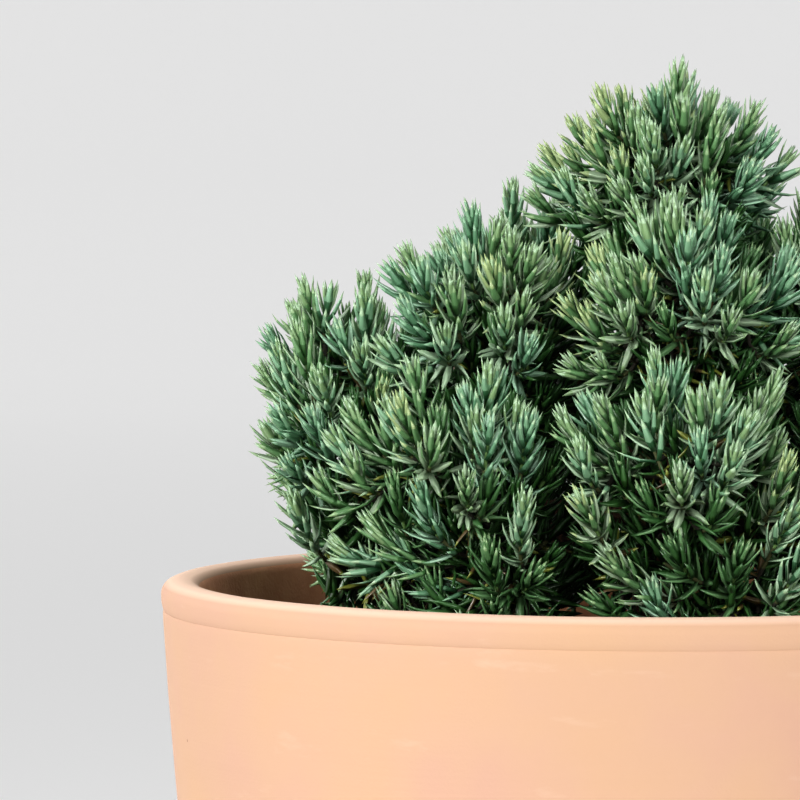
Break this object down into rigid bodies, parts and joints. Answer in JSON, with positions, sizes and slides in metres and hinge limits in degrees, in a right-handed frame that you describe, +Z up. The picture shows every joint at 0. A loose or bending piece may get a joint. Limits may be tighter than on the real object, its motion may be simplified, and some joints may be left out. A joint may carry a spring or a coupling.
{
  "type": "potted juniper",
  "caption": "Dense dwarf blue juniper with awl-shaped needles, a rounded cone on a short leaning trunk, growing in a round tapered terracotta pot with a low rim band",
  "frame": {"origin": "on the pot's axis, at its flat underside, which is the bottom centre of the box", "axes": "+Z up along the pot's axis; +X to the right and -Y towards the viewer in the pictured view"},
  "size_m": [0.28, 0.28, 0.391],
  "materials": {
    "terracotta": "matte, unglazed, pale peach",
    "potting_mix": "rough, damp, with bark bits",
    "bark": "rough, flaking",
    "foliage": "blue-green, waxy"
  },
  "bodies": {
    "root": {"pot": "terracotta", "soil": "potting_mix", "trunk": "bark", "low_bough_1": "bark", "low_bough_2": "bark", "low_bough_3": "bark", "low_bough_4": "bark", "low_bough_5": "bark", "low_bough_6": "bark", "low_bough_7": "bark", "low_bough_8": "bark", "middle_bough_1": "bark", "middle_bough_2": "bark", "middle_bough_3": "bark", "middle_bough_4": "bark", "middle_bough_5": "bark", "low_foliage_1": "foliage", "low_foliage_2": "foliage", "low_foliage_3": "foliage", "low_foliage_4": "foliage", "low_foliage_5": "foliage", "low_foliage_6": "foliage", "low_foliage_7": "foliage", "low_foliage_8": "foliage", "middle_foliage_1": "foliage", "middle_foliage_2": "foliage", "middle_foliage_3": "foliage", "middle_foliage_4": "foliage", "middle_foliage_5": "foliage", "top_foliage": "foliage"}
  },
  "joints": []
}
